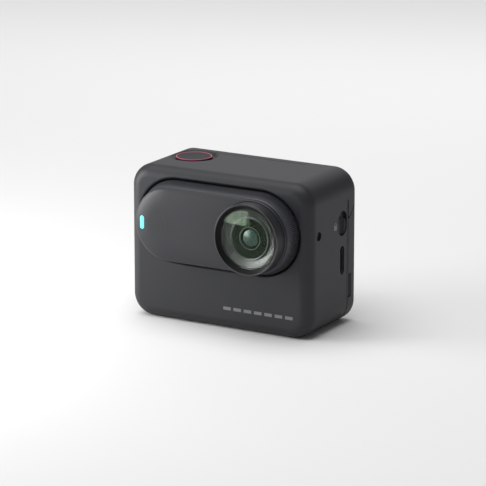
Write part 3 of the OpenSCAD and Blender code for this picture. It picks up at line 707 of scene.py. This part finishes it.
class CAMERA_OT_housing(bpy.types.Operator):
    """Front shell with the dock's mouth, hinge ears, dish, slots and holes"""

    bl_idname = "action_camera.housing"
    bl_label = "Housing"

    def execute(self, context):
        look = context.scene.housing_look
        inside = inner_rings(look, WALL, REAR_COVER[0, 1])
        shell = skin_object("housing_shell", inside + housing_rings(look, True))
        cutters = self.rear_cuts() + self.front_cuts() + self.side_cuts() + self.base_cuts()
        combine(shell, cutters, "DIFFERENCE")
        finish_piece(shell, "housing", finishes()["Housing plastic"], ("front_shell",))
        return {"FINISHED"}

    def rear_cuts(self):
        """Room for the screen panel, the rear cover, the hinge arm and its knuckle."""
        far, ears = SIDE_X + CUT, BARREL_HALF + EAR_GAP
        low, high = REAR_COVER
        return [
            prism_x("cut", panel_outline(PANEL_GAP), -far, far),
            box("cut", (-far, SCREEN_Y - PANEL_GAP, -CUT), (far, BACK_Y + CUT, CUT)),
            box("cut", (-far, low[1] - 0.01, low[2] - 0.08), (far, SCREEN_Y, high[2] + 0.08)),
            prism_x("cut", arm_outline(ARM_GAP), -ears, ears),
            prism_x("cut", circle(AXIS_Y, AXIS_Z, KNUCKLE_ROOM, 96), -ears, ears),
            box("cut", (-ears, AXIS_Y, AXIS_Z - 5.6), (ears, BACK_Y + CUT, TOP_Z + CUT)),
        ]

    def front_cuts(self):
        """The button's dish: its slope follows 3t^2 - 2t^3 from the rim down to the hole."""
        t = np.linspace(0, 1, 21)
        slope = np.column_stack([DISH_R + (DISH_HOLE_R - DISH_R) * t,
                                 TOP_Z + 0.004 - DISH_DEPTH * (3 * t**2 - 2 * t**3)])
        above = [[0, TOP_Z + CUT], [DISH_R, TOP_Z + CUT]]
        hole = [[DISH_HOLE_R, TOP_Z - 4], [0, TOP_Z - 4]]
        return [revolve_up("cut", np.concatenate([above, slope, hole]), BUTTON[0], BUTTON[1], 144)]

    def side_cuts(self):
        """Microphone, mark, slider and port on the right; buttons and speaker holes on the left."""
        far = SIDE_X + CUT
        mark_low, mark_high = LOCK[0] - MARK_GAP, LOCK[1] + MARK_GAP
        cutters = [
            prism_x("cut", circle(MIC_Y, POD_Z, MIC_R), SIDE_X - 1, far),
            box("cut", (SIDE_X - MARK_RECESS, mark_low[1], mark_low[2]), (far, mark_high[1], mark_high[2])),
            prism_x("cut", slot_outline(*SLIDER_SLOT), SIDE_X - 1, far),
            prism_x("cut", slot_outline(*PORT_SLOT), SIDE_X - 3, far),
        ]
        cutters += [prism_x("cut", slot_outline(BUTTON_Y, z, BUTTON_WIDE, BUTTON_LONG), -far, -SIDE_X + 3)
                    for z in (30, 18.5)]
        cutters += [prism_x("cut", circle(SPEAKER_Y + SPEAKER_STEP * i, SPEAKER_Z, SPEAKER_R, 24),
                            -far, -SIDE_X + 3) for i in range(-2, 3)]
        return cutters

    def base_cuts(self):
        """The quick mount's two notches and the recess of the base pad, a box with round ends."""
        deep, front, back, high = MOUNT_NOTCH
        cutters = []
        for side in (-1, 1):
            x0, x1 = sorted((side * (SIDE_X + CUT), side * (SIDE_X - deep)))
            cutters.append(box("cut", (x0, front, -1), (x1, back, high)))
        radius, y = (PAD[1, 1] - PAD[0, 1]) / 2, (PAD[1, 1] + PAD[0, 1]) / 2
        half, grown = PAD[1, 0] - radius, (PAD[1, 1] - PAD[0, 1]) / 2 + PAD_GAP
        cutters.append(box("cut", (-half, PAD[0, 1] - PAD_GAP, -1), (half, PAD[1, 1] + PAD_GAP, PAD_DEPTH)))
        cutters += [revolve_up("cut", [[0, -1], [grown, -1], [grown, PAD_DEPTH], [0, PAD_DEPTH]],
                               side * half, y, 96) for side in (-1, 1)]
        return cutters


class CAMERA_OT_shutter(bpy.types.Operator):
    """Cap and red ring of the shutter button"""

    bl_idname = "action_camera.shutter"
    bl_label = "Shutter button"

    def execute(self, context):
        r = np.linspace(0, CAP_R - 0.25, 14)
        dish = np.column_stack([r, CAP_TOP - 0.28 + 0.24 * (r / CAP_R) ** 2])
        rim = soften([[CAP_R - 0.25, CAP_TOP - 0.05], [CAP_R, CAP_TOP - 0.06], [CAP_R, CAP_TOP - 0.25],
                      [CAP_R + 0.4, CAP_TOP - 0.25], [CAP_R + 0.4, CAP_TOP - 1.15], [1, CAP_TOP - 1.15]],
                     [0, 0.1, 0, 0.03, 0, 0])
        stem = [[1, CAP[0, 2]], [0, CAP[0, 2]]]
        cap = revolve_up("shutter_cap_top", np.concatenate([dish, rim[1:], stem]), BUTTON[0], BUTTON[1], 128)
        finish_piece(cap, "shutter_button", finishes()["Button plastic"], ("shutter_cap",))
        low = CAP_TOP - 0.24
        ring = revolve_up("shutter_red_ring", soften(
            [[CAP_R + 0.02, low], [CAP_R + 0.4, low], [CAP_R + 0.4, CAP_TOP], [CAP_R + 0.02, CAP_TOP]],
            [0, 0, 0.12, 0.08]), BUTTON[0], BUTTON[1], 128)
        finish_piece(ring, "shutter_button", finishes()["Red trim"], ("shutter_ring",))
        return {"FINISHED"}


class CAMERA_OT_screen(bpy.types.Operator):
    """Screen frame with its hinge arm and barrel"""

    bl_idname = "action_camera.screen"
    bl_label = "Flip-up screen"

    def execute(self, context):
        look = context.scene.housing_look
        far, half = SIDE_X + CUT, BARREL_HALF
        form = skin_object("screen_frame_skin", housing_rings(look, False))
        arm = prism_x("arm", arm_outline(-0.02), -half, half)
        panel = prism_x("panel", panel_outline(-PANEL_GAP), -far, far)
        knuckle = prism_x("knuckle", circle(AXIS_Y, AXIS_Z, KNUCKLE_R, 96), -half, half)
        combine(panel, [arm, knuckle], "UNION")
        combine(form, [panel], "INTERSECT")
        barrel = prism_x("barrel", circle(AXIS_Y, AXIS_Z, BARREL_R, 96), -half, half)
        combine(form, [barrel], "UNION")
        glass, display = span("screen_glass"), span("screen_inner_cover")
        px, pz, angle = rounded_path(28.5, glass[0, 2] - 0.05, glass[1, 2] + 0.05, 3.5, 96)
        seat = np.column_stack([px + 3.5 * np.cos(angle), pz + 3.5 * np.sin(angle)])
        px, pz, angle = rounded_path(25.5, display[0, 2] - 0.02, display[1, 2] + 0.02, 1.5, 64)
        window = np.column_stack([px + 1.5 * np.cos(angle), pz + 1.5 * np.sin(angle)])
        cutters = [
            prism_y("cut", seat, BACK_Y - 0.9, BACK_Y + 1),
            prism_y("cut", window, SCREEN_Y - 1, BACK_Y),
            prism_x("cut", circle(AXIS_Y, AXIS_Z, 0.95, 48), -half - 1, half + 1),
            prism_x("cut", circle(AXIS_Y, AXIS_Z, 1.6, 48), half - 5, half + 1),
            prism_x("cut", circle(AXIS_Y, AXIS_Z, 1.6, 48), -half - 1, -half + 5),
        ]
        notch = [[0, FINGER_LOW], [FINGER_R, FINGER_LOW], [FINGER_R, FINGER_HIGH], [0, FINGER_HIGH]]
        cutters += [revolve_up("cut", notch, side * (SIDE_X + FINGER_R / 2), SCREEN_Y + 1.1, 48)
                    for side in (-1, 1)]
        combine(form, cutters, "DIFFERENCE")
        finish_piece(form, "flip_screen", finishes()["Housing plastic"], ("screen_frame",))
        return {"FINISHED"}


class CAMERA_OT_pod(bpy.types.Operator):
    """Camera pod: soft-edged front cover, ridged sloping frame and status window"""

    bl_idname = "action_camera.pod"
    bl_label = "Camera pod"

    def execute(self, context):
        look = context.scene.pod_look
        self.cover(look)
        self.band(look)
        self.window()
        return {"FINISHED"}

    def cover(self, look):
        """A crowned stadium: the front falls back by a quarter ellipse of the edge's width and depth."""
        t = np.linspace(0, math.pi / 2, 25) ** 1.3 / (math.pi / 2) ** 0.3
        inset = look.edge_width * (1 - np.cos(t))
        front = np.column_stack([COVER_R - inset, COVER_FACE + look.edge_depth * (1 - np.sin(t))])
        middle = np.linspace(COVER_R - look.edge_width, 0, 8)[1:]
        front = np.concatenate([front, np.column_stack([middle, np.full(7, COVER_FACE)])])[::-1]
        back = np.array([[COVER_R, COVER_SEAM - 0.1], [COVER_R - 0.1, COVER_SEAM], [10.1, COVER_SEAM],
                         [10.1, COVER_FACE + 1.5], [0, COVER_FACE + 1.5]])
        cover = stadium_ring("pod_cover", np.concatenate([front, back]), 480, closed=False)
        x, z = float(LIGHT[:, 0].mean()), float(LIGHT[:, 2].mean())
        bars = span("touch_ridges")
        middle = bars.mean(0)
        cutters = [
            prism_y("cut", circle(LENS_X, POD_Z, GUARD_R + 0.15, 160), COVER_FACE - 1, COVER_SEAM + 1),
            prism_y("cut", slot_outline(x, z, 1.46, 4.16), COVER_FACE - 1, COVER_FACE + 2),
        ]
        cutters += [prism_y("cut", slot_outline(middle[0] + 1.7 * i, middle[2], 0.64, 4.84, 24),
                            COVER_FACE - 0.5, COVER_FACE + 0.3) for i in (-1, 0, 1)]
        combine(cover, cutters, "DIFFERENCE")
        finish_piece(cover, "camera_pod", finishes()["Pod plastic"], ("pod_front_cover",))

    def band(self, look):
        """The frame's slope carries ridges: a rounded wave along the path that deepens towards the dock."""
        slope = np.linspace(0, 1, 9)
        top, bottom = COVER_R + 0.02, POD_R
        seam, foot = POD[0, 1], FRONT_Y + 0.2
        outer = np.column_stack([top + (bottom - top) * slope, seam + 0.2 + (foot - seam - 0.2) * slope])
        rest = np.array([[bottom, POD[1, 1]], [10.1, POD[1, 1]], [10.1, seam + 0.05],
                         [top - 0.15, seam + 0.05]])
        profile = np.concatenate([outer, rest])
        along = np.concatenate([slope, np.full(len(rest), -1.0)])
        fade = np.clip((along - 0.1) / 0.6, 0, 1)
        count = look.ridges * 8

        def ripple(s):
            wave = 0.5 - 0.5 * np.cos(2 * math.pi * look.ridges * s)
            return look.ridge_depth * (wave**1.5)[None] * fade[:, None]

        band = stadium_ring("pod_ridged_frame", profile, count, ripple)
        cut = prism_y("cut", circle(LENS_X, POD_Z, GUARD_R + 0.15, 160), POD[0, 1] - 1, POD[0, 1] + 2.2)
        combine(band, [cut], "DIFFERENCE")
        # The band's lightened tone is painted light from above
        finish_piece(band, "camera_pod", finishes()["Band plastic"], ("pod_frame",), 50.0)

    def window(self):
        """The status window: a slot-shaped light guide with a softly crowned face."""
        x, z = float(LIGHT[:, 0].mean()), float(LIGHT[:, 2].mean())
        front, back = LIGHT[0, 1] - 0.25, LIGHT[1, 1]
        t = np.linspace(0, math.pi / 2, 7)
        px, pz, angle = rounded_path(0.7, -2.05, 2.05, 0.699, 64)
        rows = [(0.7, back)] + [(0.7 * math.cos(a), front + 0.15 * (1 - math.sin(a))) for a in t]
        rings = [np.column_stack([x + px + r * np.cos(angle), np.full(64, y), z + pz + r * np.sin(angle)])
                 for r, y in rows]
        guide = skin_object("status_window", rings)
        finish_piece(guide, "camera_pod", finishes()["Status window"], ("status_light",))


class CAMERA_OT_lens(bpy.types.Operator):
    """Lens guard, its domed glass, and the lens rings and elements behind it"""

    bl_idname = "action_camera.lens"
    bl_label = "Lens"

    def execute(self, context):
        skins = finishes()
        rim, base, r, back = GUARD_RIM, GUARD_BASE, GUARD_R, GLASS[1, 1]
        wall = soften([[r - 0.5, rim + 0.12], [r - 0.5, base], [9.95, base], [9.95, back + 0.05],
                       [9.25, back + 0.05], [9.25, rim + 1.0]], [0, 0, 0, 0, 0, 0.3])
        guard = revolve("lens_guard_ring", wall, LENS_X, POD_Z, 192)
        finish_piece(guard, "lens_guard", skins["Guard enamel"], ("guard_ring",))
        outside = soften([[r - 0.5, rim + 0.3], [r, rim + 0.3], [r, base], [r - 0.5, base]], [0, 0.05, 0, 0])
        sleeve = revolve("lens_guard_sleeve", outside, LENS_X, POD_Z, 192)
        finish_piece(sleeve, "lens_guard", skins["Pod plastic"])
        edge = soften([[r - 0.5, rim], [r, rim], [r, rim + 0.3], [r - 0.5, rim + 0.3]], [0.1, 0.14, 0, 0])
        lip = revolve("lens_guard_lip", edge, LENS_X, POD_Z, 192)
        finish_piece(lip, "lens_guard", skins["Polished edge"])
        self.dome("guard_dome", GLASS_R, GLASS[0, 1], back, 0.85, "lens_guard", "clear_glass",
                  skins["Guard glass"], ("guard_glass",))
        y = BARREL[0, 1]
        seat = soften([[9.85, y], [8.9, y], [6.8, y + 1.1], [6.45, y + 1.1], [6.45, y + 2.4],
                       [9.85, y + 2.4]], [0.1, 0.05, 0, 0, 0, 0])
        seat_ring = revolve("lens_seat", seat, LENS_X, POD_Z, 192)
        finish_piece(seat_ring, "camera_pod", skins["Anodised black"], ("lens_barrel",))
        dark = [[6.4, y + 1.15], [3.6, y + 0.95], [3.2, y + 1.2], [2.5, y + 1.5],
                [2.5, y + 2.4], [6.4, y + 2.4]]
        baffle = revolve("lens_baffle", dark, LENS_X, POD_Z, 160)
        finish_piece(baffle, "camera_pod", skins["Baffle paint"])
        self.ring("lens_front_rim", 6.32, 0.16, y + 0.35, 0.8, skins["Lens metal"], ("lens_front_ring",))
        self.ring("lens_inner_rim", 3.4, 0.12, y + 0.75, 0.4, skins["Lens metal"], ("lens_inner_ring",))
        self.dome("front_element", 6.2, y + 0.62, y + 0.9, 0.58, "camera_pod", "lens_glass",
                  skins["Lens glass"], ("front_lens",))
        self.dome("pupil_element", 2.45, y + 1.3, y + 2.0, 0.6, "camera_pod", "lens_glass",
                  skins["Pupil glass"], ("pupil_lens",))
        return {"FINISHED"}

    def ring(self, name, radius, half, front, deep, material, replaced):
        """A thin ring with a round front edge: a half circle of the half width on a straight wall."""
        t = np.linspace(0, math.pi, 9)
        nose = np.column_stack([radius + half * np.cos(t), front + half * (1 - np.sin(t))])
        profile = np.concatenate([nose, [[radius - half, front + deep], [radius + half, front + deep]]])
        piece = revolve(name, profile, LENS_X, POD_Z, 160)
        return finish_piece(piece, "camera_pod", material, replaced)

    def dome(self, name, radius, edge, back, rise, body, slot, material, replaced):
        """A lens whose front is a spherical cap of the given rise: y = edge - rise * (1 - (r / radius)^2)."""
        r = np.linspace(0, radius, 20)
        front = np.column_stack([r, edge - rise * (1 - (r / radius) ** 2)])
        profile = np.concatenate([front, [[radius, back], [0, back]]])
        piece = revolve(name, profile, LENS_X, POD_Z, 128)
        return finish_piece(piece, body, material, replaced)


class CAMERA_OT_side_controls(bpy.types.Operator):
    """Release slider knob with its finger scoop, and the tongue inside the USB port's slot"""

    bl_idname = "action_camera.side_controls"
    bl_label = "Side controls"

    def execute(self, context):
        skins = finishes()
        y, z = float(KNOB[:, 1].mean()), float(KNOB[:, 2].mean())
        wide, long = KNOB[1, 1] - KNOB[0, 1], KNOB[1, 2] - KNOB[0, 2]
        knob = prism_x("slider_thumb_piece", slot_outline(y, z, wide, long, 96), SIDE_X - 0.95, SIDE_X - 0.2)
        scoop = prism_x("scoop", circle(0, 0, 3.0, 96), -5, 5)
        rows = np.array([v.co[:] for v in scoop.data.vertices])
        turned = np.column_stack([SIDE_X * MM + 2.25 * MM + rows[:, 1], y * MM - 0.5 * MM + rows[:, 2],
                                  z * MM + rows[:, 0]])
        scoop.data.vertices.foreach_set("co", turned.ravel())
        combine(knob, [scoop], "DIFFERENCE")
        stem = prism_x("stem", slot_outline(y, z, 2.2, 2.6), SIDE_X - 3.2, SIDE_X - 0.9)
        combine(knob, [stem], "UNION")
        finish_piece(knob, "release_slider", skins["Button plastic"], ("slider_knob",))
        tongue = box("usb_tongue", (SIDE_X - 6.6, FRONT_Y + 19.9, 18.2), (SIDE_X - 1.4, FRONT_Y + 20.6, 24.0))
        finish_piece(tongue, "housing", skins["Black plastic"])
        return {"FINISHED"}


class CAMERA_OT_finishes(bpy.types.Operator):
    """Gives every carried-over CAD piece its finish"""

    bl_idname = "action_camera.finishes"
    bl_label = "Finishes"

    def execute(self, context):
        skins = finishes()
        for finish, nodes in NODE_FINISH.items():
            for node in nodes:
                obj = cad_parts[node]
                for slot in obj.material_slots:
                    slot.material = skins[finish]
                if not obj.material_slots:
                    obj.data.materials.append(skins[finish])
        return {"FINISHED"}


class CAMERA_OT_studio(bpy.types.Operator):
    """Plain pale floor, soft lights and the camera"""

    bl_idname = "action_camera.studio"
    bl_label = "Studio"

    def execute(self, context):
        look = context.scene.studio_look
        scene = context.scene
        material, shader = new_material("Pale floor")
        shader.inputs["Base Color"].default_value = (0.75, 0.75, 0.75, 1)
        shader.inputs["Roughness"].default_value = 0.9
        shader.inputs["Specular IOR Level"].default_value = 0.1
        floor = new_object("floor", np.array([[-4000, -4000, 0], [4000, -4000, 0], [4000, 4000, 0],
                                              [-4000, 4000, 0]]), np.array([[0, 1, 2, 3]]))
        floor.data.materials.append(material)
        self.sun("key", look.key, (-0.15, -0.15, 1.0), 60)
        self.softbox("left_box", look.side, (-190, -120, 60), (-20, 0, 25), 120, 160)
        self.softbox("back_box", look.back, (-150, 420, 260), (0, 0, 40), 500, 200)
        card = self.softbox("lens_card", look.card, (-45, -75, 60), (LENS_X, GUARD_RIM, POD_Z), 60, 70)
        shown = bpy.data.collections.new("lens_glass")
        for name in ("guard_dome", "front_element"):
            shown.objects.link(bpy.data.objects[name])
        card.light_linking.receiver_collection = shown
        world = bpy.data.worlds.new("Studio")
        world.use_nodes = True
        world.node_tree.nodes["Background"].inputs["Color"].default_value = (1, 1, 1, 1)
        world.node_tree.nodes["Background"].inputs["Strength"].default_value = look.fill
        scene.world = world
        scene.view_settings.view_transform = "Standard"
        self.camera(scene, look)
        return {"FINISHED"}

    def sun(self, name, strength, direction, angle):
        """A soft sun that shines from the given direction."""
        data = bpy.data.lights.new(name, "SUN")
        data.energy = strength
        data.angle = math.radians(angle)
        lamp = bpy.data.objects.new(name, data)
        lamp.rotation_euler = Vector(direction).to_track_quat("Z", "Y").to_euler()
        bpy.context.scene.collection.objects.link(lamp)

    def softbox(self, name, power, place, target, wide, high):
        """A rectangular soft light at a place in mm, facing the target."""
        data = bpy.data.lights.new(name, "AREA")
        data.shape = "RECTANGLE"
        data.size, data.size_y = wide * MM, high * MM
        data.energy = power
        lamp = bpy.data.objects.new(name, data)
        lamp.location = Vector(place) * MM
        lamp.rotation_euler = (Vector(place) - Vector(target)).to_track_quat("Z", "Y").to_euler()
        lamp.visible_camera = False
        bpy.context.scene.collection.objects.link(lamp)
        return lamp

    def camera(self, scene, look):
        """The view: a long lens, level, aimed at the middle of the housing."""
        data = bpy.data.cameras.new("view")
        data.lens, data.sensor_width = look.lens, 36.0
        data.shift_x, data.shift_y = 0.0004, -0.0031
        data.clip_start, data.clip_end = 0.05, 30.0
        camera = bpy.data.objects.new("view", data)
        flat = math.cos(look.elevation)
        back = Vector((math.sin(look.azimuth) * flat, -math.cos(look.azimuth) * flat,
                       math.sin(look.elevation)))
        middle = Vector((0, (FRONT_Y + BACK_Y) / 2, TOP_Z / 2)) * MM
        camera.location = middle + back * look.distance
        camera.rotation_euler = back.to_track_quat("Z", "Y").to_euler()
        scene.collection.objects.link(camera)
        scene.camera = camera


class CAMERA_PT_panel(bpy.types.Panel):
    """Lists the camera's pieces and the stage"""

    bl_idname = "CAMERA_PT_action_camera"
    bl_label = "Action camera"
    bl_space_type = "VIEW_3D"
    bl_region_type = "UI"
    bl_category = "Action camera"

    def draw(self, context):
        for operator in OPERATORS:
            self.layout.operator(operator.bl_idname)
        for group in ("housing_look", "pod_look", "lens_look", "studio_look"):
            look = getattr(context.scene, group)
            box_layout = self.layout.box()
            for name in look.__annotations__:
                box_layout.prop(look, name)


LOOKS = {"housing_look": HousingLook, "pod_look": PodLook, "lens_look": LensLook, "studio_look": StudioLook}
OPERATORS = [CAMERA_OT_housing, CAMERA_OT_shutter, CAMERA_OT_screen, CAMERA_OT_pod, CAMERA_OT_lens,
             CAMERA_OT_side_controls, CAMERA_OT_finishes, CAMERA_OT_studio]
CLASSES = [*LOOKS.values(), *OPERATORS, CAMERA_PT_panel]


def register():
    for cls in CLASSES:
        bpy.utils.register_class(cls)
    for name, cls in LOOKS.items():
        setattr(bpy.types.Scene, name, PointerProperty(type=cls))


def unregister():
    for name in LOOKS:
        delattr(bpy.types.Scene, name)
    for cls in reversed(CLASSES):
        bpy.utils.unregister_class(cls)


def main():
    register()
    bpy.ops.action_camera.housing()
    bpy.ops.action_camera.shutter()
    bpy.ops.action_camera.screen()
    bpy.ops.action_camera.pod()
    bpy.ops.action_camera.lens()
    bpy.ops.action_camera.side_controls()
    bpy.ops.action_camera.finishes()
    bpy.ops.action_camera.studio()


if __name__ == "__main__":
    main()
